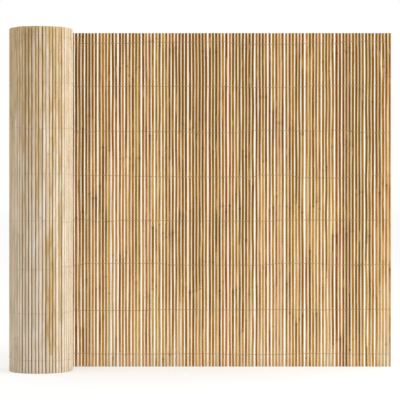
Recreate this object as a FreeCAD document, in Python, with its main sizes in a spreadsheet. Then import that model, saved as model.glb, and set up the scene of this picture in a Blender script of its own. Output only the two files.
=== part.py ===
import FreeCAD, Part
import math
import os
import Sketcher

# Bamboo fence panel: one mat of upright split slats, bound by level rows of two wires each.
# The mat stands on its slats' lower ends. A flat run goes to +X, and the rest is rolled up at -X.
# +Z is up and the flat run is seen from -Y. The origin is the bottom centre of the whole panel.

DRIVING_SIZES = [
    ("fence_height", 1000, "length of every slat"),
    ("slat_width", 8, "width of a slat along the mat"),
    ("slat_thickness", 4.4, "from the skin side to the pith side"),
    ("slat_pitch", 10, "from one slat's centre to the next"),
    ("bevel_width", 1.2, "bevel along both skin edges, across the width"),
    ("bevel_depth", 0.9, "bevel along both skin edges, across the thickness"),
    ("flat_slats", 104, "slats in the flat run"),
    ("rolled_slats", 396, "slats in the roll"),
    ("tangent_to_slat", 3.5, "from where the mat leaves the roll to its first flat slat's centre"),
    ("core_radius", 35.5, "from the roll's axis to the middle of its innermost slat"),
    ("rolled_web", 1, "wall that joins the rolled slats, on their inner side"),
    ("wire_size", 0.8, "thickness of a binding wire"),
    ("wire_rows", 8, "rows of wire"),
    ("bottom_row_height", 38, "from the floor to the lowest row"),
    ("top_row_drop", 28, "from the top to the highest row"),
]

doc = FreeCAD.newDocument("bamboo_fence_panel")
sheet = doc.addObject("Spreadsheet::Sheet", "sizes")
for line, (alias, value, meaning) in enumerate(DRIVING_SIZES, start=1):
    sheet.set(f"A{line}", alias)
    sheet.set(f"B{line}", str(value))
    sheet.set(f"C{line}", meaning)
    sheet.setAlias(f"B{line}", alias)
doc.recompute()


def size(alias):
    return float(sheet.get(alias))


slat_width = size("slat_width")
slat_thickness = size("slat_thickness")
slat_pitch = size("slat_pitch")
wire_size = size("wire_size")
flat_slats = int(size("flat_slats"))
rolled_slats = int(size("rolled_slats"))
wire_rows = int(size("wire_rows"))

# Each turn lies on the one inside it, with both wires of each row between the slats.
turn_spacing = slat_thickness + 2 * wire_size
shrink = turn_spacing / (2 * math.pi)
rolled_length = rolled_slats * slat_pitch
tangent_radius = math.sqrt(size("core_radius") ** 2 + 2 * shrink * rolled_length)
first_rolled = slat_pitch - size("tangent_to_slat")

# Until centre_x and centre_y are taken off, places are measured from the roll's axis. The middle
# of the flat run's thickness then lies at y = tangent_radius, and its free edge at x = run_end.
run_end = size("tangent_to_slat") + (flat_slats - 1) * slat_pitch + slat_width / 2
skin_side = tangent_radius - slat_thickness / 2
pith_side = tangent_radius + slat_thickness / 2


def turned(length):
    """Angle that the roll has turned at this length along the mat from where it leaves the roll."""
    return (tangent_radius - math.sqrt(tangent_radius**2 - 2 * shrink * length)) / shrink


def outward(angle):
    """Unit vector from the roll's axis: +Y where the mat leaves the roll, then round by -X."""
    return FreeCAD.Vector(-math.sin(angle), math.cos(angle), 0)


def onward(angle):
    """Unit vector along the rolled mat, towards its inner end."""
    return FreeCAD.Vector(-math.cos(angle), -math.sin(angle), 0)


def mid_radius(angle):
    return tangent_radius - shrink * angle


def slat_angle(index):
    return turned(first_rolled + index * slat_pitch)


def rolled_point(index, out, along):
    """Point of a rolled slat, so far outward from its middle and so far along the mat."""
    angle = slat_angle(index)
    return outward(angle) * (mid_radius(angle) + out) + onward(angle) * along


def inner_fold(index):
    """Inner face of the rolled mat halfway between this slat and the next, where it folds."""
    angle = (slat_angle(index) + slat_angle(index + 1)) / 2
    half_step = (slat_angle(index + 1) - slat_angle(index)) / 2
    return outward(angle) * ((mid_radius(angle) - slat_thickness / 2) / math.cos(half_step))


def closed_face(points):
    """Flat face at the floor with these corners, moved so that the panel is centred."""
    centre = FreeCAD.Vector(centre_x, centre_y, 0)
    placed = [point - centre for point in points]
    return Part.Face(Part.makePolygon(placed + placed[:1]))


# The outer turn's slats stand square on the wall between them. Those further in, which only show
# at the two ends of the roll, have a plain valley between them.
slats_per_turn = int((2 * math.pi * mid_radius(math.pi) - first_rolled) / slat_pitch) + 1
valley = size("rolled_web") - slat_thickness / 2


def rolled_outline():
    half_width = slat_width / 2
    half_thickness = slat_thickness / 2
    outer = []
    inner = []
    for index in range(rolled_slats):
        last = index == rolled_slats - 1
        if index < slats_per_turn:
            outer.append(rolled_point(index, valley, -half_width))
        outer.append(rolled_point(index, half_thickness, -half_width))
        outer.append(rolled_point(index, half_thickness, half_width))
        if index < slats_per_turn:
            outer.append(rolled_point(index, valley, half_width))
        elif not last:
            outer.append((rolled_point(index, valley, slat_pitch / 2)
                          + rolled_point(index + 1, valley, -slat_pitch / 2)) / 2)
        if not last:
            inner.append(inner_fold(index))
    inner.insert(0, rolled_point(0, -half_thickness, -half_width))
    inner.append(rolled_point(rolled_slats - 1, -half_thickness, half_width))
    return outer + inner[::-1]


def crossing(first, second, rise):
    """Where two faces of the wrapped wire meet. Each is (direction, distance from the axis)."""
    (first_way, first_far), (second_way, second_far) = first, second
    spread = first_way.x * second_way.y - first_way.y * second_way.x
    first_far = first_far + rise
    second_far = second_far + rise
    x = (first_far * second_way.y - second_far * first_way.y) / spread
    y = (second_far * first_way.x - first_far * second_way.x) / spread
    return FreeCAD.Vector(x, y, 0)


# The back wire runs straight behind the flat run, then bends round the outer turn. It lies flat
# on every second slat there, and bends above the slats between.
SLATS_PER_BEND = 2


def wrapped_wire_side(rise):
    """One side of the back wire in plan, this far off the pith side of the slats."""
    seats = [(outward(0), pith_side)]
    last_seat = 0
    for index in range(SLATS_PER_BEND - 1, slats_per_turn - 1, SLATS_PER_BEND):
        angle = slat_angle(index)
        seats.append((outward(angle), mid_radius(angle) + slat_thickness / 2))
        last_seat = index
    side = [FreeCAD.Vector(run_end, pith_side + rise, 0)]
    for first, second in zip(seats, seats[1:]):
        side.append(crossing(first, second, rise))
    side.append(rolled_point(last_seat, slat_thickness / 2 + rise, slat_width / 2))
    return side


def back_wire_outline():
    return wrapped_wire_side(0) + wrapped_wire_side(wire_size)[::-1]


def front_wire_outline():
    """Straight along the skin side, and folded round the last slat to the back wire's end."""
    return [
        FreeCAD.Vector(0, skin_side, 0),
        FreeCAD.Vector(0, skin_side - wire_size, 0),
        FreeCAD.Vector(run_end + wire_size, skin_side - wire_size, 0),
        FreeCAD.Vector(run_end + wire_size, pith_side + wire_size, 0),
        FreeCAD.Vector(run_end, pith_side + wire_size, 0),
        FreeCAD.Vector(run_end, skin_side, 0),
    ]


plan = back_wire_outline() + front_wire_outline()
centre_x = (min(point.x for point in plan) + max(point.x for point in plan)) / 2
centre_y = (min(point.y for point in plan) + max(point.y for point in plan)) / 2


def bind(piece, prop, formula):
    piece.setExpression(prop, formula)


def slat_section(body):
    """One slat in plan: flat pith side, square sides and a bevel along each skin edge."""
    sketch = body.newObject("Sketcher::SketchObject", "slat_section")
    floor = next(plane for plane in body.Origin.OriginFeatures if plane.Role == "XY_Plane")
    sketch.AttachmentSupport = [(floor, "")]
    sketch.MapMode = "FlatFace"
    half_width = slat_width / 2
    half_thickness = slat_thickness / 2
    shoulder = size("bevel_depth") - half_thickness
    crest = half_width - size("bevel_width")
    corners = [
        (-half_width, half_thickness),
        (half_width, half_thickness),
        (half_width, shoulder),
        (crest, -half_thickness),
        (-crest, -half_thickness),
        (-half_width, shoulder),
    ]
    for start, end in zip(corners, corners[1:] + corners[:1]):
        sketch.addGeometry(Part.LineSegment(FreeCAD.Vector(*start, 0), FreeCAD.Vector(*end, 0)))
    for edge in range(len(corners)):
        sketch.addConstraint(Sketcher.Constraint("Coincident", edge, 2, (edge + 1) % len(corners), 1))
    pith, right, right_bevel, skin, left = 0, 1, 2, 3, 5
    across = -2
    origin = (-1, 1)
    sketch.addConstraint(Sketcher.Constraint("Symmetric", pith, 1, pith, 2, across))
    sketch.addConstraint(Sketcher.Constraint("Symmetric", skin, 1, skin, 2, across))
    sketch.addConstraint(Sketcher.Constraint("Vertical", right))
    sketch.addConstraint(Sketcher.Constraint("Vertical", left))
    sketch.addConstraint(Sketcher.Constraint("Equal", right, left))
    measured = [
        ("width", "DistanceX", (pith, 1, pith, 2), slat_width, "sizes.slat_width"),
        ("half", "DistanceY", (*origin, pith, 1), half_thickness, "sizes.slat_thickness / 2"),
        ("thickness", "DistanceY", (skin, 1, pith, 2), slat_thickness, "sizes.slat_thickness"),
        ("bevel_w", "DistanceX", (skin, 1, right_bevel, 1), size("bevel_width"), "sizes.bevel_width"),
        ("bevel_d", "DistanceY", (skin, 1, right_bevel, 1), size("bevel_depth"), "sizes.bevel_depth"),
    ]
    for name, kind, places, value, formula in measured:
        number = sketch.addConstraint(Sketcher.Constraint(kind, *places, value))
        sketch.renameConstraint(number, name)
        bind(sketch, f"Constraints.{name}", formula)
    return sketch


def make_flat_run():
    """The flat run's slats, one padded slat repeated along the run with open gaps between."""
    body = doc.addObject("PartDesign::Body", "flat_run_slats")
    body.AllowCompound = True
    sketch = slat_section(body)
    pad = body.newObject("PartDesign::Pad", "slat")
    pad.Profile = sketch
    bind(pad, "Length", "sizes.fence_height")
    doc.recompute()
    row = body.newObject("PartDesign::LinearPattern", "slat_row")
    row.Originals = [pad]
    row.Direction = (sketch, ["H_Axis"])
    row.Mode = "Spacing"
    bind(row, "Offset", "sizes.slat_pitch")
    bind(row, "Occurrences", "sizes.flat_slats")
    body.Tip = row
    first_slat = size("tangent_to_slat") - centre_x
    body.Placement.Base = FreeCAD.Vector(first_slat, tangent_radius - centre_y, 0)
    body.Label = "flat_run_slats"
    return body


def make_upright(label, section, length):
    """A plan section raised by a bound length."""
    piece = doc.addObject("Part::Extrusion", label)
    piece.Base = section
    piece.DirMode = "Custom"
    piece.Dir = FreeCAD.Vector(0, 0, 1)
    piece.Solid = True
    bind(piece, "LengthFwd", length)
    piece.Label = label
    return piece


def plan_section(name, outline):
    section = doc.addObject("Part::Feature", name)
    section.Shape = closed_face(outline)
    return section


def make_wires(label, section):
    """One wire of every row, level, spread evenly between the lowest and the highest row."""
    wires = []
    spacing = "(sizes.fence_height - sizes.bottom_row_height - sizes.top_row_drop) / (sizes.wire_rows - 1)"
    for row in range(wire_rows):
        wire = make_upright(f"{label}_{row + 1}", section, "sizes.wire_size")
        height = f"sizes.bottom_row_height + {row} * {spacing} - sizes.wire_size / 2"
        bind(wire, "Placement.Base.z", height)
        wires.append(wire)
    return wires


pieces = [make_flat_run()]
pieces.append(make_upright("rolled_mat", plan_section("roll_plan", rolled_outline()), "sizes.fence_height"))
pieces += make_wires("front_wire", plan_section("front_wire_plan", front_wire_outline()))
pieces += make_wires("back_wire", plan_section("back_wire_plan", back_wire_outline()))
doc.recompute()

for item in doc.Objects:
    if "Invalid" in item.State or "Error" in item.State:
        raise RuntimeError(f"{item.Label} failed: {item.State}")
for piece in pieces:
    if piece.Shape.isNull() or not piece.Shape.isValid():
        raise RuntimeError(f"{piece.Label} has no valid shape")

os.makedirs("parts", exist_ok=True)
for piece in pieces:
    piece.Shape.exportStep(f"parts/{piece.Label}.step")
    box = piece.Shape.BoundBox
    print(f"{piece.Label}: {len(piece.Shape.Solids)} solids, {piece.Shape.Volume / 1000:.1f} cm3,"
          f" x {box.XMin:.1f} to {box.XMax:.1f}, y {box.YMin:.1f} to {box.YMax:.1f},"
          f" z {box.ZMin:.1f} to {box.ZMax:.1f}")
print(f"roll: {slats_per_turn} slats in the outer turn, mid radius {tangent_radius:.2f},"
      f" axis at x {-centre_x:.2f}, y {-centre_y:.2f}")
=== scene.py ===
"""Bamboo fence panel: a mat of split slats bound with wire, partly unrolled and stood on its end."""

import math
import random

import bpy
import numpy as np
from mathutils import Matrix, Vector


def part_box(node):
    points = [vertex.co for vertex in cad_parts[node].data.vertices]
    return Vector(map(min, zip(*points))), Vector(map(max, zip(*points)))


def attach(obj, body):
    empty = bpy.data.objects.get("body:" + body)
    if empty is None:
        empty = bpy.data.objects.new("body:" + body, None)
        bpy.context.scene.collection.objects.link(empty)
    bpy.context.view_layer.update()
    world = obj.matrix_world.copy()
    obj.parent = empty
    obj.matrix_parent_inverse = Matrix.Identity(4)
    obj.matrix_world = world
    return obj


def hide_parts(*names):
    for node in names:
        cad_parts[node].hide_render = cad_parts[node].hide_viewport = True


bl_info = {
    "name": "Bamboo fence panel",
    "version": (1, 0, 0),
    "blender": (4, 5, 0),
    "location": "3D View > Sidebar > Fence",
    "description": "Builds the slats, wires, finishes and stage of a partly unrolled bamboo fence panel",
    "category": "Object",
}

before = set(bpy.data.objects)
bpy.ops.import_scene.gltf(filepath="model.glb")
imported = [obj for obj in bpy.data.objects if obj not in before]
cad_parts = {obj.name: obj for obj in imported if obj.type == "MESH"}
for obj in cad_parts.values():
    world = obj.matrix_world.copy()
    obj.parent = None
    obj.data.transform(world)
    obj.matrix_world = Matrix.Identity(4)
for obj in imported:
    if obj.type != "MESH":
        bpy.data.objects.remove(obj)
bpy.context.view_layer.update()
FLAT_LOW, FLAT_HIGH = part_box("flat_run_slats")
SLAT_HEIGHT = FLAT_HIGH.z - FLAT_LOW.z
FLAT_SLATS = 104
SLAT_PITCH = 0.010
WIRE_ROWS = sum(1 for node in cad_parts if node.startswith("front_wire_"))

# Seeds of the random draws. A slat's own seed, from 0 to 1, is spread over SURFACE_SEEDS.
MAT_SEED = 41
STRAND_SEED = 700
SURFACE_SEEDS = 1e9

# Heights at which a slat's sideways drift is known, from its foot up.
HEIGHT_STEPS = 41
LEVELS = np.linspace(0, SLAT_HEIGHT, HEIGHT_STEPS)


class FENCE_PG_mat(bpy.types.PropertyGroup):
    """Sizes of the slats, the roll and the binding wires."""

    slat_width: bpy.props.FloatProperty(
        name="Slat width", description="Width of a slat along the mat",
        default=FLAT_HIGH.x - FLAT_LOW.x - (FLAT_SLATS - 1) * SLAT_PITCH, min=0.001, unit="LENGTH")
    slat_thickness: bpy.props.FloatProperty(
        name="Slat thickness", description="From the skin side to the pith side",
        default=FLAT_HIGH.y - FLAT_LOW.y, min=0.001, unit="LENGTH")
    slat_pitch: bpy.props.FloatProperty(
        name="Slat pitch", description="From one slat's centre to the next",
        default=SLAT_PITCH, min=0.002, unit="LENGTH")
    tangent_to_slat: bpy.props.FloatProperty(
        name="Tangent to slat",
        description="From where the mat leaves the roll to its first flat slat",
        default=0.0035, unit="LENGTH")
    core_radius: bpy.props.FloatProperty(
        name="Core radius", description="From the roll's axis to the middle of its innermost slat",
        default=0.0355, min=0.01, unit="LENGTH")
    wire_size: bpy.props.FloatProperty(
        name="Wire size", description="Thickness of a binding wire",
        default=0.0008, min=0.0002, unit="LENGTH")
    flat_count: bpy.props.IntProperty(
        name="Flat slats", description="Slats in the flat run", default=FLAT_SLATS, min=2)
    rolled_count: bpy.props.IntProperty(
        name="Rolled slats", description="Slats in the roll", default=396, min=2)


class FENCE_PG_growth(bpy.types.PropertyGroup):
    """How uneven the bamboo is."""

    width_spread: bpy.props.FloatProperty(
        name="Width spread", description="How much slats differ in width, as a share of it",
        default=0.038, min=0.0, max=0.3, subtype="FACTOR")
    drift: bpy.props.FloatProperty(
        name="Drift", description="How far a slat stands from its even place",
        default=0.0003, min=0.0, unit="LENGTH")
    bow: bpy.props.FloatProperty(
        name="Bow", description="How far a slat bends to one side between its ends",
        default=0.0004, min=0.0, unit="LENGTH")
    flutter: bpy.props.FloatProperty(
        name="Flutter", description="How far a slat winds from side to side along its length",
        default=0.00062, min=0.0, unit="LENGTH")
    least_gap: bpy.props.FloatProperty(
        name="Least gap", description="Nearest that two slats come to each other",
        default=0.0008, min=0.0, unit="LENGTH")
    internode: bpy.props.FloatProperty(
        name="Internode", description="Mean distance between two nodes of one culm",
        default=0.29, min=0.05, unit="LENGTH")
    node_swell: bpy.props.FloatProperty(
        name="Node swell",
        description="How much wider a slat is at a node, as a share of its width",
        default=0.04, min=0.0, max=0.5, subtype="FACTOR")
    taper: bpy.props.FloatProperty(
        name="Taper",
        description="How much wider a slat is at its head than at its foot, as a share of its width",
        default=0.05, min=0.0, max=0.3, subtype="FACTOR")
    row_wander: bpy.props.FloatProperty(
        name="Row wander", description="How far a wire row strays up or down",
        default=0.0022, min=0.0, unit="LENGTH")


class FENCE_PG_colours(bpy.types.PropertyGroup):
    """Colours of the bamboo and the wire, and the painted shade in the wire's twists."""

    skin_dark: bpy.props.FloatVectorProperty(
        name="Skin, dark", description="Darkest skin of a slat", subtype="COLOR_GAMMA", size=3,
        default=(0.545, 0.325, 0.0), min=0.0, max=1.0)
    skin_amber: bpy.props.FloatVectorProperty(
        name="Skin, amber", description="Usual skin of a slat", subtype="COLOR_GAMMA", size=3,
        default=(0.70, 0.455, 0.07), min=0.0, max=1.0)
    skin_pale: bpy.props.FloatVectorProperty(
        name="Skin, pale", description="Palest fresh skin of a slat", subtype="COLOR_GAMMA", size=3,
        default=(0.875, 0.645, 0.325), min=0.0, max=1.0)
    skin_bleached: bpy.props.FloatVectorProperty(
        name="Skin, bleached", description="Weathered skin, near the foot of some slats",
        subtype="COLOR_GAMMA", size=3, default=(0.875, 0.755, 0.565), min=0.0, max=1.0)
    edge_tan: bpy.props.FloatVectorProperty(
        name="Edge tan", description="Split sides of a dark slat", subtype="COLOR_GAMMA", size=3,
        default=(0.87, 0.82, 0.50), min=0.0, max=1.0)
    edge_straw: bpy.props.FloatVectorProperty(
        name="Edge straw", description="Split sides of a slat", subtype="COLOR_GAMMA", size=3,
        default=(0.885, 0.85, 0.59), min=0.0, max=1.0)
    pith_pale: bpy.props.FloatVectorProperty(
        name="Pith, pale", description="Palest inner side of a slat", subtype="COLOR_GAMMA", size=3,
        default=(0.965, 0.905, 0.865), min=0.0, max=1.0)
    pith_straw: bpy.props.FloatVectorProperty(
        name="Pith, straw", description="Darker inner side of a slat", subtype="COLOR_GAMMA", size=3,
        default=(0.895, 0.795, 0.695), min=0.0, max=1.0)
    pith_tan: bpy.props.FloatVectorProperty(
        name="Pith, tan", description="Darkest inner side of a slat", subtype="COLOR_GAMMA", size=3,
        default=(0.80, 0.65, 0.47), min=0.0, max=1.0)
    pith_rose: bpy.props.FloatVectorProperty(
        name="Pith, rose", description="Pinkish patches of the inner side",
        subtype="COLOR_GAMMA", size=3, default=(0.91, 0.80, 0.725), min=0.0, max=1.0)
    pith_green: bpy.props.FloatVectorProperty(
        name="Pith, green", description="Greenish patches of the inner side",
        subtype="COLOR_GAMMA", size=3, default=(0.86, 0.81, 0.72), min=0.0, max=1.0)
    node_brown: bpy.props.FloatVectorProperty(
        name="Node brown", description="Mark at a node", subtype="COLOR_GAMMA", size=3,
        default=(0.36, 0.20, 0.02), min=0.0, max=1.0)
    vessel_brown: bpy.props.FloatVectorProperty(
        name="Vessel brown", description="Dots on a cut end", subtype="COLOR_GAMMA", size=3,
        default=(0.36, 0.22, 0.10), min=0.0, max=1.0)
    zinc: bpy.props.FloatVectorProperty(
        name="Zinc", description="Dull zinc on the strand in front", subtype="COLOR_GAMMA", size=3,
        default=(0.86, 0.76, 0.56), min=0.0, max=1.0)
    dusty_zinc: bpy.props.FloatVectorProperty(
        name="Dusty zinc", description="Wire on the pith side, pale with bamboo dust",
        subtype="COLOR_GAMMA", size=3, default=(0.86, 0.77, 0.60), min=0.0, max=1.0)
    # Painted shade, laid on the wire where it twists between two slats.
    painted_twist_shade: bpy.props.FloatVectorProperty(
        name="Painted twist shade", description="Wire where it is twisted between two slats",
        subtype="COLOR_GAMMA", size=3, default=(0.08, 0.06, 0.04), min=0.0, max=1.0)


class FENCE_PG_stage(bpy.types.PropertyGroup):
    """Camera, light and floor."""

    camera_distance: bpy.props.FloatProperty(
        name="Camera distance", description="From the flat run's skin side to the camera",
        default=4.385, min=0.5, unit="LENGTH")
    camera_side: bpy.props.FloatProperty(
        name="Camera side", description="Camera's place along the panel, from its middle",
        default=-0.0066, unit="LENGTH")
    camera_height: bpy.props.FloatProperty(
        name="Camera height", description="Camera's height above the floor",
        default=0.4994, unit="LENGTH")
    lens: bpy.props.FloatProperty(
        name="Lens", description="Focal length on a 36 mm wide sensor",
        default=131.67, min=10.0, unit="CAMERA")
    key_power: bpy.props.FloatProperty(
        name="Key power", description="Power of the large soft lamp",
        default=125.0, min=0.0, unit="POWER")
    ambient: bpy.props.FloatProperty(
        name="Ambient", description="Strength of the even white surroundings",
        default=0.98, min=0.0)


def settings(name):
    return getattr(bpy.context.scene, name)


def kept(name):
    """A material that an earlier piece has made, or None."""
    return bpy.data.materials.get(name)


class Mat:
    """The mat's course seen from above: straight along the flat run, then wound into the roll.

    Length along the mat is counted from where it leaves the roll, negative in the flat run and
    positive in the roll. Out is towards the pith side, which is the roll's outer side.
    """

    def __init__(self, sizes):
        turn_spacing = sizes.slat_thickness + 2 * sizes.wire_size
        self.shrink = turn_spacing / (2 * math.pi)
        self.rolled_length = sizes.rolled_count * sizes.slat_pitch
        self.radius = math.sqrt(sizes.core_radius**2 + 2 * self.shrink * self.rolled_length)
        first_flat = FLAT_LOW.x + sizes.slat_width / 2
        self.axis_x = first_flat - sizes.tangent_to_slat
        self.axis_y = (FLAT_LOW.y + FLAT_HIGH.y) / 2 - self.radius
        self.pitch = sizes.slat_pitch
        self.first_rolled = sizes.slat_pitch - sizes.tangent_to_slat
        outer_turn = 2 * math.pi * (self.radius - math.pi * self.shrink)
        self.turn_count = int((outer_turn - self.first_rolled) / sizes.slat_pitch) + 1

    def slat_length(self, number):
        """Where a slat stands. Numbers from 0 are in the roll, negative ones in the flat run."""
        return self.first_rolled + number * self.pitch

    def turned(self, length):
        """Angle that the roll has turned at this length along the mat."""
        inside = np.clip(length, 0.0, self.rolled_length)
        return (self.radius - np.sqrt(self.radius**2 - 2 * self.shrink * inside)) / self.shrink

    def place(self, length, out):
        """Points of the ground plan at these lengths along the mat, so far out from its middle."""
        angle = self.turned(length)
        reach = self.radius - self.shrink * angle + out
        straight = np.minimum(length, 0.0)
        x = self.axis_x - np.sin(angle) * reach - straight
        y = self.axis_y + np.cos(angle) * reach
        return x, y

    def rigid(self, at, along, out):
        """As place, but for a straight-sided piece that stands at one length along the mat."""
        angle = float(self.turned(at))
        x, y = self.place(at, 0.0)
        x = x - math.cos(angle) * along - math.sin(angle) * out
        y = y - math.sin(angle) * along + math.cos(angle) * out
        return x, y


# How unlike each other the slats are. Lengths are in metres. Tones run from 0, dark, to about 1,
# pale. Of two values in brackets, those named BY_PART are for the flat run and for the roll, and
# the others are the least and the most. The higher a RARITY, the fewer slats have a strong mark.
WIDTH_LIMIT = 2.2
THICKNESS_SHARES = (0.92, 1.0)
TWIST_DEGREES = 2.0
BOW_LENGTHS = (0.9, 1.9)
FLUTTER_LENGTHS = (0.22, 0.45)
FLUTTER_DIVISOR_BY_PART = (1, 5)
TONE_SPREAD_BY_PART = (0.07, 0.15)
INTERNODE_TONE_BY_PART = (0.24, 0.20)
BLEACH_SHARES = (0.75, 1.25)
HUE_SPREAD = 0.75
NODE_STRAY = 0.014
MARK_STRENGTH = 0.95
MARK_RARITY = 1.6
STAIN_RARITY = 5
SLOPE_STRAY = 0.002
FOOT_STRAY = 0.0004
HEAD_STRAY = 0.0006


class Slat:
    """One slat's own measure: its place, girth, bends, nodes and tone."""

    def __init__(self, number, culm, rng, sizes, growth):
        part = 0 if number < 0 else 1
        odd = max(-WIDTH_LIMIT, min(WIDTH_LIMIT, rng.gauss(0, 1)))
        self.number = number
        self.width = sizes.slat_width * (1 + odd * growth.width_spread + extra_width(number))
        self.thickness = sizes.slat_thickness * rng.uniform(*THICKNESS_SHARES)
        self.twist = math.radians(rng.gauss(0, TWIST_DEGREES))
        self.shift = rng.gauss(0, growth.drift)
        self.bow = rng.gauss(0, growth.bow)
        self.bow_turn = rng.uniform(0, 2 * math.pi)
        self.bow_length = rng.uniform(*BOW_LENGTHS)
        self.flutter = rng.gauss(0, growth.flutter / FLUTTER_DIVISOR_BY_PART[part])
        self.flutter_turn = rng.uniform(0, 2 * math.pi)
        self.flutter_length = rng.uniform(*FLUTTER_LENGTHS)
        self.tone = culm["tone"] + rng.gauss(0, TONE_SPREAD_BY_PART[part])
        self.bleach = culm["bleach"] * rng.uniform(*BLEACH_SHARES)
        self.hue = culm["hue"] + rng.gauss(0, HUE_SPREAD)
        self.seed = rng.random()
        self.nodes = [height + rng.gauss(0, NODE_STRAY) for height in culm["nodes"]]
        self.node_mark = [MARK_STRENGTH * rng.random() ** MARK_RARITY for _ in self.nodes]
        self.node_stain = [rng.random() ** STAIN_RARITY for _ in self.nodes]
        step = INTERNODE_TONE_BY_PART[part]
        self.internodes = [rng.gauss(0, step) for _ in range(len(self.nodes) + 1)]
        culm["nodes"] = [height + rng.gauss(culm["slope"], SLOPE_STRAY) for height in culm["nodes"]]
        self.foot = rng.uniform(0, FOOT_STRAY)
        self.head = rng.uniform(0, HEAD_STRAY)


# Stretches of slats that are a little wider (above 0) or narrower than the rest: the first slat and
# the last, numbered as in Mat, and the change as a share of the width.
WIDTH_PATCHES = [
    (-104, -102, 0.02), (-101, -87, 0.035), (-77, -63, -0.01), (-56, -41, 0.035), (-48, -31, 0.008),
    (-26, -15, -0.012),
]


def extra_width(number):
    return sum(change for first, last, change in WIDTH_PATCHES if first <= number <= last)


# How unlike each other the culms are that the slats were split from. CULM_TONE is a mean and a
# spread, and the others in brackets are the least and the most. Lengths are in metres, and
# CULM_SLOPE is how far the nodes rise from one slat to the next.
FIRST_NODE_FROM = -0.1
LOWEST_NODE = 0.02
INTERNODE_SHARES = (0.75, 1.25)
CULM_TONE = (0.28, 0.08)
CULM_BLEACH = (0.30, 0.60)
CULM_HUE = (-0.4, 0.4)
CULM_SLOPE = (-0.003, 0.003)
SLATS_TO_A_CULM = (2, 7)


def start_culm(rng, growth):
    """What slats split from one culm share: tone, how far they bleach, and their nodes' heights."""
    nodes = []
    at = rng.uniform(FIRST_NODE_FROM, growth.internode)
    while at < SLAT_HEIGHT:
        if at > LOWEST_NODE:
            nodes.append(at)
        at += growth.internode * rng.uniform(*INTERNODE_SHARES)
    return {
        "tone": rng.gauss(*CULM_TONE),
        "bleach": rng.uniform(*CULM_BLEACH),
        "hue": rng.uniform(*CULM_HUE),
        "nodes": nodes,
        "slope": rng.uniform(*CULM_SLOPE),
        "left": rng.randint(*SLATS_TO_A_CULM),
    }


def wave(levels, reach, length, turn):
    return reach * np.sin(2 * math.pi * levels / length + turn)


# Filled on the first call of grow_slats, because every piece needs the same slats.
_grown = {}


def grow_slats():
    """Every slat of the mat, from the free edge to the core, and each one's drift at LEVELS."""
    if _grown:
        return _grown["slats"], _grown["drift"]
    sizes = settings("fence_mat")
    growth = settings("fence_growth")
    rng = random.Random(MAT_SEED)
    slats = []
    culm = start_culm(rng, growth)
    for number in range(-sizes.flat_count, sizes.rolled_count):
        if culm["left"] == 0:
            culm = start_culm(rng, growth)
        culm["left"] -= 1
        slats.append(Slat(number, culm, rng, sizes, growth))
    drift = np.array([
        slat.shift
        + wave(LEVELS, slat.bow, slat.bow_length, slat.bow_turn)
        + wave(LEVELS, slat.flutter, slat.flutter_length, slat.flutter_turn)
        for slat in slats])
    part_gaps(drift)
    keep_edge(slats, drift, sizes, growth)
    keep_apart(slats, drift, sizes, growth)
    keep_edge(slats, drift, sizes, growth)
    _grown["slats"] = slats
    _grown["drift"] = drift
    return slats, drift


# Gaps of the flat run that are plainly wider, and plainly narrower, than the rest: their number as
# counted from the free edge, and how much wider each is, in metres.
WIDER_GAPS = {
    4: 0.0019, 7: 0.0015, 16: 0.0012, 25: 0.0021, 31: 0.0021, 36: 0.0017, 40: 0.0019, 48: 0.0017,
    54: 0.0025, 60: 0.0017, 74: 0.0017, 81: 0.0014, 83: 0.0014, 87: 0.0020,
}
NARROWER_GAPS = {
    6: -0.0010, 9: -0.0014, 12: -0.0022, 13: -0.0015, 18: -0.0012, 32: -0.0010, 47: -0.0012,
    53: -0.0012, 56: -0.0030, 75: -0.0012, 90: -0.0012,
}

# How much of a gap's change its next slats take, from the nearest one outward on each side.
GAP_SHARES = (0.5, 0.25, 0.1)
PUSH_ROUNDS = 12

# Stretches of slats that are plainly darker (below 0) or paler than their neighbours: the first slat
# and the last, numbered as in Mat, the lowest and highest point as shares of the slat's height, and
# the change of tone. The last stretch, the roll's side towards the lamp, is painted light.
TONE_AND_PAINTED_LIGHT_PATCHES = [
    (-104, -104, 0.0, 1.0, -0.17), (-104, -104, 0.0, 0.40, 0.45), (-104, -104, 0.0, 0.27, 0.60),
    (-103, -101, 0.0, 1.0, 0.05), (-103, -103, 0.0, 0.75, 0.30), (-103, -103, 0.0, 0.50, 0.45),
    (-102, -102, 0.0, 0.37, 0.42), (-102, -102, 0.0, 0.24, 0.30), (-101, -101, 0.0, 0.23, 0.62),
    (-100, -88, 0.0, 1.0, -0.31), (-96, -93, 0.1, 0.9, -0.08), (-92, -90, 0.0, 1.0, -0.10),
    (-86, -71, 0.0, 1.0, 0.05), (-79, -71, 0.0, 1.0, 0.10), (-77, -77, 0.2, 0.55, -0.20),
    (-71, -69, 0.05, 0.5, 0.10), (-64, -49, 0.0, 1.0, -0.16), (-63, -62, 0.45, 1.0, -0.22),
    (-48, -47, 0.0, 1.0, -0.10), (-48, -42, 0.0, 1.0, -0.07), (-41, -34, 0.0, 1.0, 0.07),
    (-41, -15, 0.0, 1.0, 0.13), (-38, -36, 0.3, 0.62, 0.12), (-23, -17, 0.0, 0.34, 0.14),
    (-14, -10, 0.0, 0.1, -0.15), (-14, -10, 0.0, 1.0, -0.16), (-10, -9, 0.0, 1.0, -0.10),
    (15, 44, 0.16, 0.34, -0.07), (15, 44, 0.80, 1.0, 0.06), (20, 22, 0.1, 0.5, 0.10),
    (27, 30, 0.0, 1.0, -0.09), (28, 29, 0.55, 1.0, -0.18), (30, 30, 0.45, 0.74, 0.30),
    (31, 31, 0.0, 0.38, -0.40), (31, 35, 0.0, 1.0, -0.26), (31, 44, 0.35, 0.55, 0.05),
    # Painted light: the roll's right side, which faces the lamp, made paler over its whole height.
    (36, 44, 0.0, 1.0, 0.40),
]


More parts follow.
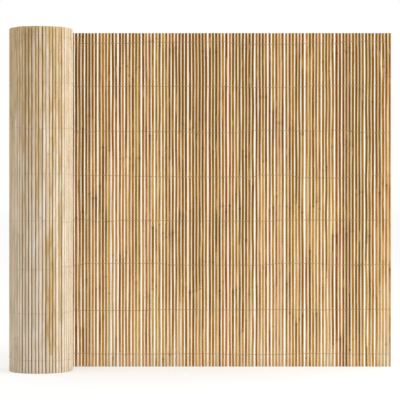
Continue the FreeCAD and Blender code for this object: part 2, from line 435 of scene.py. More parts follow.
def part_gaps(drift):
    """Parts or closes the listed gaps by moving the slats on both sides of each."""
    for gap, more in (WIDER_GAPS | NARROWER_GAPS).items():
        for step, share in enumerate(GAP_SHARES):
            if gap - step >= 0:
                drift[gap - step] -= more * share
            drift[gap + 1 + step] += more * share


def widest_half(width, growth):
    """Half of a slat's width where it is widest, at a node near its head."""
    return width * (1 + growth.node_swell + growth.taper / 2) / 2


def keep_edge(slats, drift, sizes, growth):
    """Keeps the free edge's slat inside the panel's own length."""
    spare = sizes.slat_width / 2 - widest_half(slats[0].width, growth)
    drift[0] = np.maximum(drift[0], -spare)


def keep_apart(slats, drift, sizes, growth):
    """Pushes neighbours off each other, so that no slat runs into the next."""
    half = widest_half(np.array([slat.width for slat in slats])[:, None], growth)
    for _ in range(PUSH_ROUNDS):
        room = sizes.slat_pitch + drift[1:] - drift[:-1] - half[1:] - half[:-1]
        short = np.clip(growth.least_gap - room, 0, None) / 2
        drift[1:] += short
        drift[:-1] -= short


# Corners of a slat's section, as shares of its half width and half thickness, with the skin side at
# -1. The third number is how far the surface there is pith, and the fourth how far it is an edge.
SECTION = np.array([
    (-0.26, -0.99, 0.00, 0.00),
    (0.26, -0.99, 0.00, 0.00),
    (0.64, -0.93, 0.00, 0.25),
    (0.89, -0.80, 0.05, 0.80),
    (0.98, -0.58, 0.15, 1.00),
    (1.00, 0.30, 0.40, 1.00),
    (0.96, 0.80, 0.85, 1.00),
    (0.84, 0.97, 1.00, 0.25),
    (-0.84, 0.97, 1.00, 0.25),
    (-0.96, 0.80, 0.85, 1.00),
    (-1.00, 0.30, 0.40, 1.00),
    (-0.98, -0.58, 0.15, 1.00),
    (-0.89, -0.80, 0.05, 0.80),
    (-0.64, -0.93, 0.00, 0.25),
])

# Heights of the extra rings round a node, in metres from it.
NODE_RINGS = (-0.012, -0.005, -0.0018, 0.0, 0.0018, 0.005, 0.012)
NODE_REACH = 0.0026
NODE_CLEAR_OF_END = 0.002
LEAST_RING_STEP = 0.0008
END_BEVEL = 0.0005

# How much a slat's surface wavers, as shares of its half width and half thickness. The thickness
# takes RAGGED_THROUGH of what the corners do, and a cut end has END_SHARE of the slat's girth.
RAGGED_CORNERS = 0.018
RAGGED_THROUGH = 0.5
RAGGED_RINGS = 0.012
NODE_THICKENING = 0.05
END_SHARE = 0.92

# How the tone goes up a slat. Lengths are shares of its height, but for STEP_EASE and STAIN_REACH,
# which are in metres. STEP_AT_NODE is the share of a change that comes at the node itself, and
# STAIN_REACH_ABOVE how far a stain reaches above its node, as a share of how far below.
BLEACH_TOP = 0.75
FOOT_BLEACH = 0.33
FOOT_REACH = 0.06
HEAD_SHADE = 0.19
HEAD_START = 0.62
PATCH_EASE = 0.03
STEP_EASE = 0.035
STEP_AT_NODE = 0.4
STAIN_REACH = 0.035
STAIN_REACH_ABOVE = 0.2

# Slats to a piece, and even rings to a slat in the flat run, the roll's outer turn and inside it.
SLATS_PER_PIECE = 8
FLAT_RINGS = 40
OUTER_RINGS = 36
INNER_RINGS = 6

# Each turn further in has about this many slats fewer, and less than this part of a turn that is
# left over at the core goes with the turn before.
FEWER_PER_TURN = 3
LEAST_TURN_PART = 4


class MeshParts:
    """Collects points, faces and named values before they become one mesh."""

    def __init__(self):
        self.points = []
        self.faces = []
        self.slots = []
        self.values = {}
        self.count = 0

    def add_tube(self, rings, values, cap_slot):
        """Rings of points, shaped (ring, side, xyz), joined into a tube that is closed at both ends."""
        ring_count, side_count = rings.shape[:2]
        base = self.count
        self.points.append(rings.reshape(-1, 3))
        self.count += ring_count * side_count
        for name, value in values.items():
            spread = np.broadcast_to(value, (ring_count, side_count)).reshape(-1)
            self.values.setdefault(name, []).append(spread)
        ring_start = base + np.arange(ring_count - 1)[:, None] * side_count
        side = np.arange(side_count)[None]
        low = ring_start + side
        low_next = ring_start + (side + 1) % side_count
        quads = np.stack([low, low_next, low_next + side_count, low + side_count], axis=-1)
        self.faces += quads.reshape(-1, 4).tolist()
        self.slots += [0] * low.size
        last = base + (ring_count - 1) * side_count
        self.faces.append(list(range(base + side_count - 1, base - 1, -1)))
        self.faces.append(list(range(last, last + side_count)))
        self.slots += [cap_slot, cap_slot]

    def build(self, name, materials):
        mesh = bpy.data.meshes.new(name)
        mesh.from_pydata(np.concatenate(self.points).tolist(), [], self.faces)
        for name_of_value, chunks in self.values.items():
            layer = mesh.attributes.new(name_of_value, "FLOAT", "POINT")
            layer.data.foreach_set("value", np.concatenate(chunks).astype(np.float32))
        for material in materials:
            mesh.materials.append(material)
        mesh.polygons.foreach_set("material_index", self.slots)
        mesh.polygons.foreach_set("use_smooth", [slot == 0 for slot in self.slots])
        mesh.update()
        piece = bpy.data.objects.new(name, mesh)
        bpy.context.scene.collection.objects.link(piece)
        return piece


def ease(value):
    """Nothing up to 0, all from 1 on, and even between."""
    return np.clip(value, 0, 1)


def smooth(share):
    """Goes from 0 to 1 with no kink at either end."""
    return share * share * (3 - 2 * share)


def height_share(levels):
    return (levels - FLAT_LOW.z) / SLAT_HEIGHT


def ring_heights(slat, bottom, top, plain_rings):
    """Heights of a slat's rings: even ones, more at each node, and one inside each cut end."""
    heights = list(np.linspace(bottom + END_BEVEL, top - END_BEVEL, plain_rings))
    lowest = bottom + NODE_CLEAR_OF_END
    highest = top - NODE_CLEAR_OF_END
    for node in slat.nodes if plain_rings > INNER_RINGS else ():
        heights += [node + step for step in NODE_RINGS if lowest < node + step < highest]
    heights = sorted(heights)
    apart = [heights[0]]
    for height in heights[1:]:
        if height - apart[-1] > LEAST_RING_STEP:
            apart.append(height)
    return np.array([bottom] + apart + [top])


def node_values(slat, levels):
    """How near each height is to a node, how dark its ring is, and how stained the slat is there."""
    near = np.zeros_like(levels)
    mark = np.zeros_like(levels)
    stain = np.zeros_like(levels)
    for node, shown, strength in zip(slat.nodes, slat.node_mark, slat.node_stain):
        away = levels - node
        ring = np.exp(-(away / NODE_REACH) ** 2)
        near = np.maximum(near, ring)
        mark = np.maximum(mark, shown * ring)
        below = np.exp(away / STAIN_REACH)
        above = np.exp(-away / (STAIN_REACH * STAIN_REACH_ABOVE))
        stain = np.maximum(stain, strength * np.where(away < 0, below, above))
    return near, mark, stain


def slat_tone(slat, levels):
    """Tone up the slat: bleached at the foot, shaded at the head, changing at each node, and with the
    listed patches, painted light among them.
    """
    share = height_share(levels)
    tone = slat.tone + slat.internodes[0] + slat.bleach * ease(1 - share / BLEACH_TOP)
    tone = tone + FOOT_BLEACH * np.exp(-share / FOOT_REACH)
    tone = tone - HEAD_SHADE * ease((share - HEAD_START) / (1 - HEAD_START))
    for node, below, above in zip(slat.nodes, slat.internodes, slat.internodes[1:]):
        step = STEP_AT_NODE * ease((levels - node) / NODE_REACH + 0.5)
        step = step + (1 - STEP_AT_NODE) * ease((levels - node) / STEP_EASE)
        tone = tone + (above - below) * step
    # Patches of tone, and on the roll's right side painted light.
    for first, last, low, high, change in TONE_AND_PAINTED_LIGHT_PATCHES:
        if first <= slat.number <= last:
            inside = ease((share - low) / PATCH_EASE + 1) * ease((high - share) / PATCH_EASE + 1)
            tone = tone + change * inside
    return tone


def add_slat(parts, mat, slat, drift, plain_rings, growth):
    """One split slat, straight-sided, a little uneven along its length, swollen at its nodes."""
    levels = ring_heights(slat, FLAT_LOW.z + slat.foot, FLAT_HIGH.z - slat.head, plain_rings)
    near, mark, stain = node_values(slat, levels)
    noise = np.random.default_rng(int(slat.seed * SURFACE_SEEDS))
    ragged = noise.normal(0, RAGGED_CORNERS, (len(levels), len(SECTION)))
    swollen = growth.node_swell * near + growth.taper * (height_share(levels) - 0.5)
    wide = slat.width / 2 * (1 + swollen + noise.normal(0, RAGGED_RINGS, len(levels)))
    thick = slat.thickness / 2 * (1 + NODE_THICKENING * near)
    ends = np.ones(len(levels))
    ends[[0, -1]] = END_SHARE
    across = SECTION[None, :, 0] * (1 + ragged) * (wide * ends)[:, None]
    through = SECTION[None, :, 1] * (1 + ragged * RAGGED_THROUGH) * (thick * ends)[:, None]
    cosine = math.cos(slat.twist)
    sine = math.sin(slat.twist)
    along = across * cosine - through * sine + np.interp(levels, LEVELS, drift)[:, None]
    out = across * sine + through * cosine
    x, y = mat.rigid(mat.slat_length(slat.number), along, out)
    z = np.broadcast_to(levels[:, None], x.shape)
    parts.add_tube(np.stack([x, y, z], axis=-1), {
        "tone": slat_tone(slat, levels)[:, None],
        "hue": slat.hue,
        "pith": SECTION[None, :, 2],
        "edge": SECTION[None, :, 3],
        "node_mark": mark[:, None],
        "stain": stain[:, None],
        "grain": slat.seed,
    }, cap_slot=1)


def make_slat_piece(name, numbers, plain_rings, node, slot):
    """A group of neighbouring slats as one piece that stands for part of a CAD node."""
    slats, drift = grow_slats()
    sizes = settings("fence_mat")
    mat = Mat(sizes)
    parts = MeshParts()
    for number in numbers:
        index = number + sizes.flat_count
        add_slat(parts, mat, slats[index], drift[index], plain_rings, settings("fence_growth"))
    piece = parts.build(name, [bamboo_material(), cut_end_material()])
    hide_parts(node)
    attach(piece, "root")


class FENCE_OT_flat_slats(bpy.types.Operator):
    """Makes the flat run's slats, eight to a piece."""

    bl_idname = "fence.flat_slats"
    bl_label = "Flat run slats"

    def execute(self, context):
        first = -settings("fence_mat").flat_count
        for piece, start in enumerate(range(first, 0, SLATS_PER_PIECE), 1):
            numbers = range(start, min(start + SLATS_PER_PIECE, 0))
            make_slat_piece(f"flat_slats_{piece}", numbers, FLAT_RINGS, "flat_run_slats", "slats")
        return {"FINISHED"}


class FENCE_OT_rolled_slats(bpy.types.Operator):
    """Makes the roll's slats: its outer turn eight to a piece, and each turn inside it as one."""

    bl_idname = "fence.rolled_slats"
    bl_label = "Rolled slats"

    def execute(self, context):
        sizes = settings("fence_mat")
        turn = Mat(sizes).turn_count
        place = ("rolled_mat", "rolled_slats")
        for piece, start in enumerate(range(0, turn, SLATS_PER_PIECE), 1):
            numbers = range(start, min(start + SLATS_PER_PIECE, turn))
            make_slat_piece(f"outer_turn_slats_{piece}", numbers, OUTER_RINGS, *place)
        depth = 2
        start = turn
        while start < sizes.rolled_count:
            stop = min(start + turn - FEWER_PER_TURN * depth, sizes.rolled_count)
            if sizes.rolled_count - stop < turn // LEAST_TURN_PART:
                stop = sizes.rolled_count
            make_slat_piece(f"inner_turn_slats_{depth}", range(start, stop), INNER_RINGS, *place)
            start = stop
            depth += 1
        return {"FINISHED"}


# A strand has this many sides, and points this far out on both sides of a slat's middle, as a share
# of its half width. GAP_STEPS are its points in a gap, as shares of the way across, and the higher
# GAP_SHARPNESS is, the sooner it meets its partner there.
STRAND_SIDES = 5
SEAT_SHARE = 0.72
GAP_STEPS = (0.10, 0.24, 0.37, 0.50, 0.63, 0.76, 0.90)
GAP_SHARPNESS = 3

# A wire row keeps level for so many slats, the least and the most, before it steps up or down. At
# each slat it also strays by a small share of such a step, and each place is eased by its neighbours.
SLATS_TO_A_LEVEL = (4, 22)
SMALL_STRAY = 0.12
NEIGHBOUR_SHARES = (0.25, 0.5, 0.25)


def row_height(row):
    low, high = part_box(f"front_wire_{row}")
    return (low.z + high.z) / 2


def row_wander(row, numbers):
    """How far a wire row strays from its even height at each slat."""
    wander = settings("fence_growth").row_wander
    rng = random.Random(STRAND_SEED + row)
    stray = []
    level = 0.0
    left = 0
    for _ in numbers:
        if left == 0:
            level = rng.gauss(0, wander)
            left = rng.randint(*SLATS_TO_A_LEVEL)
        left -= 1
        stray.append(level + rng.gauss(0, wander * SMALL_STRAY))
    eased = np.convolve(np.pad(stray, 1, mode="edge"), NEIGHBOUR_SHARES, mode="valid")
    return dict(zip(numbers, eased))


def strand_path(mat, row, numbers, front):
    """One strand's middle line, over each slat and round its partner in each gap.

    It is given as length along the mat, distance out, height, and how far it is twisted there.
    """
    slats, drift = grow_slats()
    sizes = settings("fence_mat")
    stray = row_wander(row, range(-sizes.flat_count, mat.turn_count))
    side = -1.0 if front else 1.0
    thin = sizes.wire_size / 2
    places = []
    for number in numbers:
        index = number + sizes.flat_count
        height = row_height(row) + stray[number]
        centre = mat.slat_length(number) + np.interp(height, LEVELS, drift[index])
        places.append((centre, slats[index].width / 2, slats[index].thickness / 2 + thin, height))
    points = []
    for here, ahead in zip(places, places[1:] + [None]):
        centre, half, lift, height = here
        points.append((centre - SEAT_SHARE * half, side * lift, height, 0.0))
        points.append((centre + SEAT_SHARE * half, side * lift, height, 0.0))
        if ahead is None:
            break
        start = centre + half
        stop = ahead[0] - ahead[1]
        for step in GAP_STEPS:
            nearness = abs(2 * step - 1) ** GAP_SHARPNESS
            spread = thin + (lift - thin) * nearness
            turn = 2 * math.pi * smooth(step)
            points.append((
                start + (stop - start) * step,
                side * spread * math.cos(turn),
                height + (ahead[3] - height) * step + side * thin * math.sin(turn),
                1 - nearness,
            ))
    return np.array(points)


def add_strand(parts, mat, path, thickness):
    """A round wire along a path as strand_path gives it."""
    lengths, outs, heights, twists = path.T
    x, y = mat.place(lengths, outs)
    line = np.stack([x, y, heights], axis=-1)
    ahead = np.gradient(line, axis=0)
    ahead /= np.linalg.norm(ahead, axis=1)[:, None]
    across = np.cross(ahead, (0.0, 0.0, 1.0))
    across /= np.linalg.norm(across, axis=1)[:, None]
    upward = np.cross(across, ahead)
    turns = np.arange(STRAND_SIDES) * 2 * math.pi / STRAND_SIDES
    rings = (line[:, None]
             + across[:, None] * np.cos(turns)[None, :, None] * thickness / 2
             + upward[:, None] * np.sin(turns)[None, :, None] * thickness / 2)
    # The twist value also places the wire's painted shade, dark in the gaps between slats.
    parts.add_tube(rings, {"twist": twists[:, None]}, cap_slot=0)


# The fold's points, from behind the last slat to its front. Each is so many half wires out from its
# side, half slats and half wires towards its back, and half wires up from the row.
FOLD = (
    (0.6, 1.0, 1.0, 1.0),
    (1.0, 0.7, 0.0, 0.5),
    (1.0, -0.7, 0.0, 0.0),
    (0.6, -1.0, -0.8, 0.0),
)


def fold_round_edge(mat, path, sizes):
    """Leads the front strand from behind the last slat round its free side."""
    edge = mat.slat_length(-sizes.flat_count) - sizes.slat_width / 2
    reach = sizes.slat_thickness / 2
    thin = sizes.wire_size / 2
    height = path[0, 2]
    lead = [
        (edge - thin * clear, reach * slats + thin * wires, height + thin * up, 0.0)
        for clear, slats, wires, up in FOLD]
    return np.concatenate([lead, path])


def make_strand_piece(name, row, front, replaced):
    sizes = settings("fence_mat")
    mat = Mat(sizes)
    last = 0 if front else mat.turn_count - 1
    path = strand_path(mat, row, range(-sizes.flat_count, last), front)
    if front:
        path = fold_round_edge(mat, path, sizes)
    parts = MeshParts()
    add_strand(parts, mat, path, sizes.wire_size)
    piece = parts.build(name, [wire_material(dusty=not front)])
    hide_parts(replaced)
    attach(piece, "root")


class FENCE_OT_front_strands(bpy.types.Operator):
    """Makes the strand in front of the slats in each wire row."""

    bl_idname = "fence.front_strands"
    bl_label = "Front strands"

    def execute(self, context):
        for row in range(1, WIRE_ROWS + 1):
            make_strand_piece(f"front_strand_{row}", row, True, f"front_wire_{row}")
        return {"FINISHED"}


class FENCE_OT_back_strands(bpy.types.Operator):
    """Makes the strand behind the slats in each wire row, which goes on round the roll."""

    bl_idname = "fence.back_strands"
    bl_label = "Back strands"

    def execute(self, context):
        for row in range(1, WIRE_ROWS + 1):
            make_strand_piece(f"back_strand_{row}", row, False, f"back_wire_{row}")
        return {"FINISHED"}


class FENCE_OT_rolled_strands(bpy.types.Operator):
    """Makes the inner strands that the roll's outer turn shows in its gaps."""

    bl_idname = "fence.rolled_strands"
    bl_label = "Rolled strands"

    def execute(self, context):
        sizes = settings("fence_mat")
        mat = Mat(sizes)
        parts = MeshParts()
        for row in range(1, WIRE_ROWS + 1):
            path = strand_path(mat, row, range(-1, mat.turn_count - 1), True)
            add_strand(parts, mat, path, sizes.wire_size)
        piece = parts.build("rolled_strands", [wire_material()])
        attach(piece, "root")
        return {"FINISHED"}


# How far apart slats stand in the grain along X, Y and Z, in metres, and how rough all noise is.
GRAIN_REACH = (3.1, 5.3, 11.7)
NOISE_ROUGHNESS = 0.55


def paint(colour):
    """A colour as it is seen on a screen, turned into the light it stands for, and opaque."""
    light = (part / 12.92 if part <= 0.04045 else ((part + 0.055) / 1.055) ** 2.4 for part in colour)
    return (*light, 1.0)


class NodeTree:
    """Short calls for building a material's nodes."""

    def __init__(self, name):
        self.material = bpy.data.materials.new(name)
        self.material.use_nodes = True
        self.tree = self.material.node_tree
        self.shader = self.tree.nodes["Principled BSDF"]

    def add(self, kind, **values):
        node = self.tree.nodes.new(kind)
        for key, value in values.items():
            setattr(node, key, value)
        return node

    def join(self, source, target):
        self.tree.links.new(source, target)

    def feed(self, socket, value):
        if isinstance(value, bpy.types.NodeSocket):
            self.join(value, socket)
        else:
            socket.default_value = value

    def value(self, name):
        """One of the values that MeshParts gives a mesh."""
        return self.add("ShaderNodeAttribute", attribute_name=name).outputs["Fac"]

    def maths(self, operation, *terms):
        node = self.add("ShaderNodeMath", operation=operation)
        for socket, term in zip(node.inputs, terms):
            self.feed(socket, term)
        return node.outputs[0]

    def plus(self, first, second):
        return self.maths("ADD", first, second)

    def times(self, first, second):
        return self.maths("MULTIPLY", first, second)

    def all_but(self, part, value):
        """1, less a part of a value."""
        return self.maths("SUBTRACT", 1.0, self.times(value, part))

    def grain_point(self):
        """A place in the bamboo that differs for every slat, so that no two have the same grain."""
        shift = self.add("ShaderNodeCombineXYZ")
        seed = self.value("grain")
        for axis, reach in enumerate(GRAIN_REACH):
            self.join(self.times(seed, reach), shift.inputs[axis])
        total = self.add("ShaderNodeVectorMath", operation="ADD")
        self.join(self.add("ShaderNodeTexCoord").outputs["Object"], total.inputs[0])
        self.join(shift.outputs[0], total.inputs[1])
        return total.outputs[0]

    def noise(self, place, cells, detail):
        """Noise between 0 and 1, with so many cells to the metre along X, Y and Z."""
        scale = self.add("ShaderNodeVectorMath", operation="MULTIPLY")
        self.join(place, scale.inputs[0])
        scale.inputs[1].default_value = cells
        node = self.add("ShaderNodeTexNoise")
        self.join(scale.outputs[0], node.inputs["Vector"])
        node.inputs["Scale"].default_value = 1.0
        node.inputs["Detail"].default_value = detail
        node.inputs["Roughness"].default_value = NOISE_ROUGHNESS
        return node.outputs["Fac"]

    def ramp(self, factor, stops):
        node = self.add("ShaderNodeValToRGB")
        elements = node.color_ramp.elements
        while len(elements) < len(stops):
            elements.new(0.5)
        for element, (place, colour) in zip(elements, stops):
            element.position = place
            element.color = paint(colour)
        self.join(factor, node.inputs["Fac"])
        return node.outputs["Color"]

    def mix(self, factor, first, second, blend="MIX"):
        node = self.add("ShaderNodeMix", data_type="RGBA", blend_type=blend)
        self.feed(node.inputs["Factor"], factor)
        self.feed(node.inputs["A"], first)
        self.feed(node.inputs["B"], second)
        return node.outputs["Result"]

    def spread(self, value, low, high):
        """Stretches 0 to 1 onto low to high."""
        node = self.add("ShaderNodeMapRange", clamp=True)
        self.join(value, node.inputs["Value"])
        node.inputs["To Min"].default_value = low
        node.inputs["To Max"].default_value = high
        return node.outputs["Result"]

    def window(self, value, low, high):
        """Stretches low to high onto 0 to 1."""
        node = self.add("ShaderNodeMapRange", clamp=True)
        self.join(value, node.inputs["Value"])
        node.inputs["From Min"].default_value = low
        node.inputs["From Max"].default_value = high
        return node.outputs["Result"]

    def bump(self, height, distance):
        node = self.add("ShaderNodeBump")
        node.inputs["Strength"].default_value = 1.0
        node.inputs["Distance"].default_value = distance
        self.join(height, node.inputs["Height"])
        self.join(node.outputs["Normal"], self.shader.inputs["Normal"])


# Cells of noise to the metre along X, Y and Z, finer across a slat than along it.
FIBRE_CELLS = (1100, 1100, 7)
STREAK_CELLS = (260, 260, 4)
SCAR_CELLS = (170, 170, 13)
MOTTLE_CELLS = (90, 90, 14)
CAST_CELLS = (60, 60, 9)
SAWN_CELLS = (1800, 1800, 1800)
SPECK_CELLS = (1400, 1400, 1400)
CLOUD_CELLS = (160, 160, 160)
VESSEL_CELLS = 1500.0

# Colours that fibres multiply the skin and the pith by, and the bare zinc of a speck.
FIBRE_SHADE_OF_SKIN = (0.76, 0.73, 0.68)
FIBRE_SHADE_OF_PITH = (0.82, 0.78, 0.72)
WHITE = (1.0, 1.0, 1.0)
SPECK_GREY = (0.62, 0.62, 0.62)

# Where in its noise a thing starts to show, and where it shows in full.
DARK_SCARS = (0.62, 0.67)
PALE_SCARS = (0.38, 0.32)
ROSE_PATCHES = (0.52, 0.70)
GREEN_PATCHES = (0.48, 0.32)
PITH_BORDER = (0.45, 0.75)
BROWN_CLOUDS = (0.50, 0.75)
BARE_SPECKS = (0.60, 0.72)
# Painted shade on the wire: where it starts and where it is full, by how far the strand is twisted.
PAINTED_SHADE_IN_TWIST = (0.0, 0.5)

# What the lowest and the highest noise give: tone, hue, nearness to the pith, the strength of split
# sides, stains and rings, and roughness. A vessel's radius goes from the skin to the pith.
STREAK_TONE = (-0.58, 0.58)
MOTTLE_TONE = (-0.70, 0.70)
CAST_HUE = (3.0, -3.0)
STREAK_PITH = (-0.15, 0.15)
SPLIT_SIDE = (0.35, 1.0)
STAIN_SHARE = (0.5, 1.1)
RING_SHARE = (0.35, 0.95)
SKIN_ROUGHNESS = (0.36, 0.54)
SAWN_ROUGHNESS = (0.75, 0.92)
ZINC_ROUGHNESS = (0.42, 0.66)
VESSEL_RADIUS = (0.52, 0.24)

# How far each thing covers what is under it, and how much of it the pith side lacks.
SCAR_COVER = 0.55
STAIN_COVER = 0.62
RING_COVER = 0.8
VESSEL_COVER = 0.6
SPLIT_LOST_ON_PITH = 0.35
STAIN_LOST_ON_PITH = 0.5
RING_LOST_ON_PITH = 0.6

# The skin's colour is read at this share of the tone, and each step of hue turns it by HUE_STEP from
# HUE_MIDDLE, where a half is no turn.
SKIN_TONE_SHARE = 0.62
HUE_STEP = -0.009
HUE_MIDDLE = 0.499

# Shine of bamboo, how much rougher its pith is, and relief, in metres.
BAMBOO_SHINE = 0.08
PITH_ROUGHER = 0.28
MOTTLE_RELIEF_SHARE = 0.4
BAMBOO_RELIEF = 0.00022
SAWN_RELIEF = 0.00015
SPECK_RELIEF = 0.00005

# How far wire is metal, and how far painted shade covers it where it is twisted.
CLEAN_WIRE = (0.75, 1.0)
DUSTY_WIRE = (0.2, 0.45)


def skin_colour(nodes, colours, place, tone, fibres, cast):
    """Amber skin, darker and paler with the tone, turned to red or green, with fibres and scars."""
    skin = nodes.ramp(nodes.times(tone, SKIN_TONE_SHARE), [
        (0.0, colours.skin_dark), (0.30, colours.skin_amber),
        (0.62, colours.skin_pale), (1.0, colours.skin_bleached)])
    turn = nodes.add("ShaderNodeHueSaturation")
    nodes.join(skin, turn.inputs["Color"])
    hue = nodes.plus(nodes.value("hue"), nodes.spread(cast, *CAST_HUE))
    nodes.join(nodes.maths("MULTIPLY_ADD", hue, HUE_STEP, HUE_MIDDLE), turn.inputs["Hue"])
    shade = nodes.ramp(fibres, [(0.30, FIBRE_SHADE_OF_SKIN), (0.70, WHITE)])
    skin = nodes.mix(1.0, turn.outputs["Color"], shade, "MULTIPLY")
    scars = nodes.noise(place, SCAR_CELLS, 2)
    dark = nodes.times(nodes.window(scars, *DARK_SCARS), SCAR_COVER)
    pale = nodes.times(nodes.window(scars, *PALE_SCARS), SCAR_COVER)
    skin = nodes.mix(dark, skin, paint(colours.skin_dark))
    return nodes.mix(pale, skin, paint(colours.skin_pale))


def pith_colour(nodes, colours, tone, fibres, cast):
    """Pale pith, yellower where the tone is dark, with pinkish and greenish patches and fibres."""
    pith = nodes.ramp(tone, [
        (0.06, colours.pith_tan), (0.28, colours.pith_straw), (0.70, colours.pith_pale)])
    pith = nodes.mix(nodes.window(cast, *ROSE_PATCHES), pith, paint(colours.pith_rose))
    pith = nodes.mix(nodes.window(cast, *GREEN_PATCHES), pith, paint(colours.pith_green))
    shade = nodes.ramp(fibres, [(0.30, FIBRE_SHADE_OF_PITH), (0.62, WHITE)])
    return nodes.mix(1.0, pith, shade, "MULTIPLY")


def bamboo_material():
    """Split bamboo: fibrous skin on one side, dull pale pith on the other, dark rings at nodes."""
    name = "split_bamboo"
    if kept(name):
        return kept(name)
    colours = settings("fence_colours")
    nodes = NodeTree(name)
    place = nodes.grain_point()
    fibres = nodes.noise(place, FIBRE_CELLS, 4)
    streaks = nodes.noise(place, STREAK_CELLS, 3)
    mottle = nodes.noise(place, MOTTLE_CELLS, 3)
    cast = nodes.noise(place, CAST_CELLS, 2)
    tone = nodes.plus(nodes.value("tone"), nodes.spread(streaks, *STREAK_TONE))
    tone = nodes.plus(tone, nodes.spread(mottle, *MOTTLE_TONE))
    skin = skin_colour(nodes, colours, place, tone, fibres, cast)
    pith = pith_colour(nodes, colours, tone, fibres, cast)
    side = nodes.plus(nodes.value("pith"), nodes.spread(streaks, *STREAK_PITH))
    side = nodes.window(side, *PITH_BORDER)
    colour = nodes.mix(side, skin, pith)
    split = nodes.times(nodes.value("edge"), nodes.spread(streaks, *SPLIT_SIDE))
    split = nodes.times(split, nodes.all_but(SPLIT_LOST_ON_PITH, side))
    edge = nodes.ramp(tone, [(0.0, colours.edge_tan), (0.6, colours.edge_straw)])
    colour = nodes.mix(split, colour, edge)
    stain = nodes.times(nodes.value("stain"), nodes.spread(streaks, *STAIN_SHARE))
    stain = nodes.times(stain, nodes.all_but(STAIN_LOST_ON_PITH, side))
    colour = nodes.mix(nodes.times(stain, STAIN_COVER), colour, paint(colours.node_brown))
    ring = nodes.times(nodes.value("node_mark"), nodes.spread(mottle, *RING_SHARE))
    ring = nodes.times(ring, nodes.all_but(RING_LOST_ON_PITH, side))
    colour = nodes.mix(nodes.times(ring, RING_COVER), colour, paint(colours.node_brown))
    nodes.join(colour, nodes.shader.inputs["Base Color"])
    rough = nodes.plus(nodes.spread(fibres, *SKIN_ROUGHNESS), nodes.times(side, PITH_ROUGHER))
    nodes.join(rough, nodes.shader.inputs["Roughness"])
    nodes.shader.inputs["Specular IOR Level"].default_value = BAMBOO_SHINE
    nodes.bump(nodes.plus(fibres, nodes.times(mottle, MOTTLE_RELIEF_SHARE)), BAMBOO_RELIEF)
    return nodes.material


def cut_end_material():
    """Sawn end of a slat: pale ground with dark vessel dots, thick-set towards the skin."""
    name = "cut_bamboo_end"
    if kept(name):
        return kept(name)
    colours = settings("fence_colours")
    nodes = NodeTree(name)
    place = nodes.grain_point()
    vessels = nodes.add("ShaderNodeTexVoronoi", feature="F1")
    vessels.inputs["Scale"].default_value = VESSEL_CELLS
    nodes.join(place, vessels.inputs["Vector"])
    reach = nodes.spread(nodes.value("pith"), *VESSEL_RADIUS)
    dot = nodes.maths("LESS_THAN", vessels.outputs["Distance"], reach)
    fuzz = nodes.noise(place, SAWN_CELLS, 4)
    ground = nodes.ramp(fuzz, [(0.3, colours.pith_straw), (0.7, colours.pith_pale)])
    colour = nodes.mix(nodes.times(dot, VESSEL_COVER), ground, paint(colours.vessel_brown))
    nodes.join(colour, nodes.shader.inputs["Base Color"])
    nodes.join(nodes.spread(fuzz, *SAWN_ROUGHNESS), nodes.shader.inputs["Roughness"])
    nodes.bump(fuzz, SAWN_RELIEF)
    return nodes.material


def wire_material(dusty=False):
    """Dull zinc-coated wire, browned in places, with painted shade where two strands are twisted.

    Dusty wire, on the pith side, is paler and less like metal, and its painted shade is thinner.
    """
    name = "dusty_zinc_wire" if dusty else "dull_zinc_wire"
    if kept(name):
        return kept(name)
    colours = settings("fence_colours")
    zinc = colours.dusty_zinc if dusty else colours.zinc
    metal, twist_shade_cover = DUSTY_WIRE if dusty else CLEAN_WIRE
    nodes = NodeTree(name)
    place = nodes.add("ShaderNodeTexCoord").outputs["Object"]
    cloud = nodes.noise(place, CLOUD_CELLS, 4)
    specks = nodes.noise(place, SPECK_CELLS, 2)
    # Painted shade darkens the wire in the gaps between slats, where it twists.
    twist_shade = nodes.window(nodes.value("twist"), *PAINTED_SHADE_IN_TWIST)
    twist_shade = nodes.times(twist_shade, twist_shade_cover)
    colour = nodes.mix(twist_shade, paint(zinc), paint(colours.painted_twist_shade))
    colour = nodes.mix(nodes.window(cloud, *BROWN_CLOUDS), colour, paint(colours.vessel_brown))
    colour = nodes.mix(nodes.window(specks, *BARE_SPECKS), colour, paint(SPECK_GREY))
    nodes.join(colour, nodes.shader.inputs["Base Color"])
    nodes.shader.inputs["Metallic"].default_value = metal
    nodes.join(nodes.spread(cloud, *ZINC_ROUGHNESS), nodes.shader.inputs["Roughness"])
    nodes.bump(specks, SPECK_RELIEF)
    return nodes.material


# The floor reaches past the horizon, in metres. FLOOR_SHADE is its own colour, and FLOOR_GLOW the
# light that the viewer sees it give.
FLOOR_REACH = 60.0
FLOOR_GLOW = 0.43
FLOOR_SHADE = 0.55

# The one lamp's place, width and aim, in metres.
LAMP_PLACE = (4.0, -1.6, 1.6)
LAMP_WIDTH = 2.0
LAMP_TARGET = Vector((0.0, 0.0, 0.5))

# Width of the camera's sensor, in millimetres.
SENSOR_WIDTH = 36.0


def seen_ray(tree):
    """1 for rays that the viewer follows, straight or by way of metal or glass, and 0 for light."""
    path = tree.nodes.new("ShaderNodeLightPath")
    seen = path.outputs["Is Camera Ray"]
    for ray in ("Is Glossy Ray", "Is Transmission Ray"):
        either = tree.nodes.new("ShaderNodeMath")
        either.operation = "MAXIMUM"
        tree.links.new(seen, either.inputs[0])
        tree.links.new(path.outputs[ray], either.inputs[1])
        seen = either.outputs[0]
    return seen


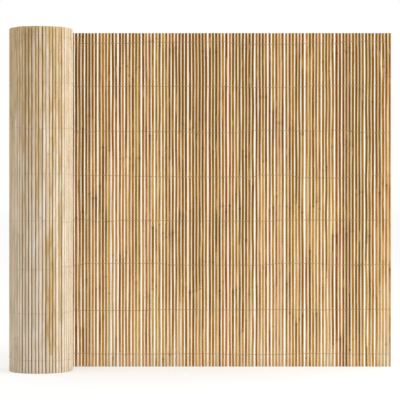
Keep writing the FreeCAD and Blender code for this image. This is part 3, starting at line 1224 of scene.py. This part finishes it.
def make_world(stage):
    """White surroundings, full white to the viewer and a little less as light."""
    world = bpy.data.worlds.new("white_surroundings")
    bpy.context.scene.world = world
    world.use_nodes = True
    tree = world.node_tree
    background = tree.nodes["Background"]
    background.inputs["Color"].default_value = (1.0, 1.0, 1.0, 1.0)
    strength = tree.nodes.new("ShaderNodeMix")
    strength.data_type = "FLOAT"
    tree.links.new(seen_ray(tree), strength.inputs["Factor"])
    strength.inputs["A"].default_value = stage.ambient
    strength.inputs["B"].default_value = 1.0
    tree.links.new(strength.outputs["Result"], background.inputs["Strength"])


def make_floor():
    """A plain pale floor that glows a little to the viewer only, so that it keeps a soft shadow."""
    mesh = bpy.data.meshes.new("floor")
    reach = FLOOR_REACH
    corners = [(-reach, -reach, 0), (reach, -reach, 0), (reach, reach, 0), (-reach, reach, 0)]
    mesh.from_pydata(corners, [], [(0, 1, 2, 3)])
    floor = bpy.data.objects.new("floor", mesh)
    bpy.context.scene.collection.objects.link(floor)
    nodes = NodeTree("pale_floor")
    nodes.shader.inputs["Base Color"].default_value = (FLOOR_SHADE, FLOOR_SHADE, FLOOR_SHADE, 1.0)
    nodes.shader.inputs["Roughness"].default_value = 0.9
    nodes.shader.inputs["Specular IOR Level"].default_value = 0.0
    nodes.shader.inputs["Emission Color"].default_value = (1.0, 1.0, 1.0, 1.0)
    glow = nodes.times(seen_ray(nodes.tree), FLOOR_GLOW)
    nodes.join(glow, nodes.shader.inputs["Emission Strength"])
    mesh.materials.append(nodes.material)


def make_lamp(power):
    data = bpy.data.lights.new("key_lamp", "AREA")
    data.shape = "DISK"
    data.size = LAMP_WIDTH
    data.energy = power
    lamp = bpy.data.objects.new("key_lamp", data)
    lamp.location = LAMP_PLACE
    lamp.rotation_euler = (LAMP_TARGET - lamp.location).to_track_quat("-Z", "Y").to_euler()
    bpy.context.scene.collection.objects.link(lamp)


def make_camera(stage):
    data = bpy.data.cameras.new("camera")
    data.sensor_width = SENSOR_WIDTH
    data.lens = stage.lens
    camera = bpy.data.objects.new("camera", data)
    camera.location = (stage.camera_side, FLAT_LOW.y - stage.camera_distance, stage.camera_height)
    camera.rotation_euler = (math.pi / 2, 0.0, 0.0)
    bpy.context.scene.collection.objects.link(camera)
    bpy.context.scene.camera = camera


class FENCE_OT_stage(bpy.types.Operator):
    """Makes the camera, the soft light, the white surroundings and the floor."""

    bl_idname = "fence.stage"
    bl_label = "Stage"

    def execute(self, context):
        stage = settings("fence_stage")
        context.scene.view_settings.view_transform = "Standard"
        make_camera(stage)
        make_world(stage)
        make_floor()
        make_lamp(stage.key_power)
        return {"FINISHED"}


class FENCE_PT_panel(bpy.types.Panel):
    """Lists the steps that build the fence panel."""

    bl_idname = "FENCE_PT_panel"
    bl_label = "Bamboo fence panel"
    bl_space_type = "VIEW_3D"
    bl_region_type = "UI"
    bl_category = "Fence"

    def draw(self, context):
        for step in STEPS:
            self.layout.operator(step.bl_idname)


GROUPS = {
    "fence_mat": FENCE_PG_mat,
    "fence_growth": FENCE_PG_growth,
    "fence_colours": FENCE_PG_colours,
    "fence_stage": FENCE_PG_stage,
}
STEPS = (
    FENCE_OT_stage,
    FENCE_OT_flat_slats,
    FENCE_OT_rolled_slats,
    FENCE_OT_front_strands,
    FENCE_OT_back_strands,
    FENCE_OT_rolled_strands,
)


def register():
    for group in GROUPS.values():
        bpy.utils.register_class(group)
    for name, group in GROUPS.items():
        setattr(bpy.types.Scene, name, bpy.props.PointerProperty(type=group))
    for step in STEPS:
        bpy.utils.register_class(step)
    bpy.utils.register_class(FENCE_PT_panel)


def unregister():
    bpy.utils.unregister_class(FENCE_PT_panel)
    for step in reversed(STEPS):
        bpy.utils.unregister_class(step)
    for name in GROUPS:
        delattr(bpy.types.Scene, name)
    for group in reversed(list(GROUPS.values())):
        bpy.utils.unregister_class(group)


def main():
    register()
    bpy.ops.fence.stage()
    bpy.ops.fence.flat_slats()
    bpy.ops.fence.rolled_slats()
    bpy.ops.fence.front_strands()
    bpy.ops.fence.back_strands()
    bpy.ops.fence.rolled_strands()


if __name__ == "__main__":
    main()
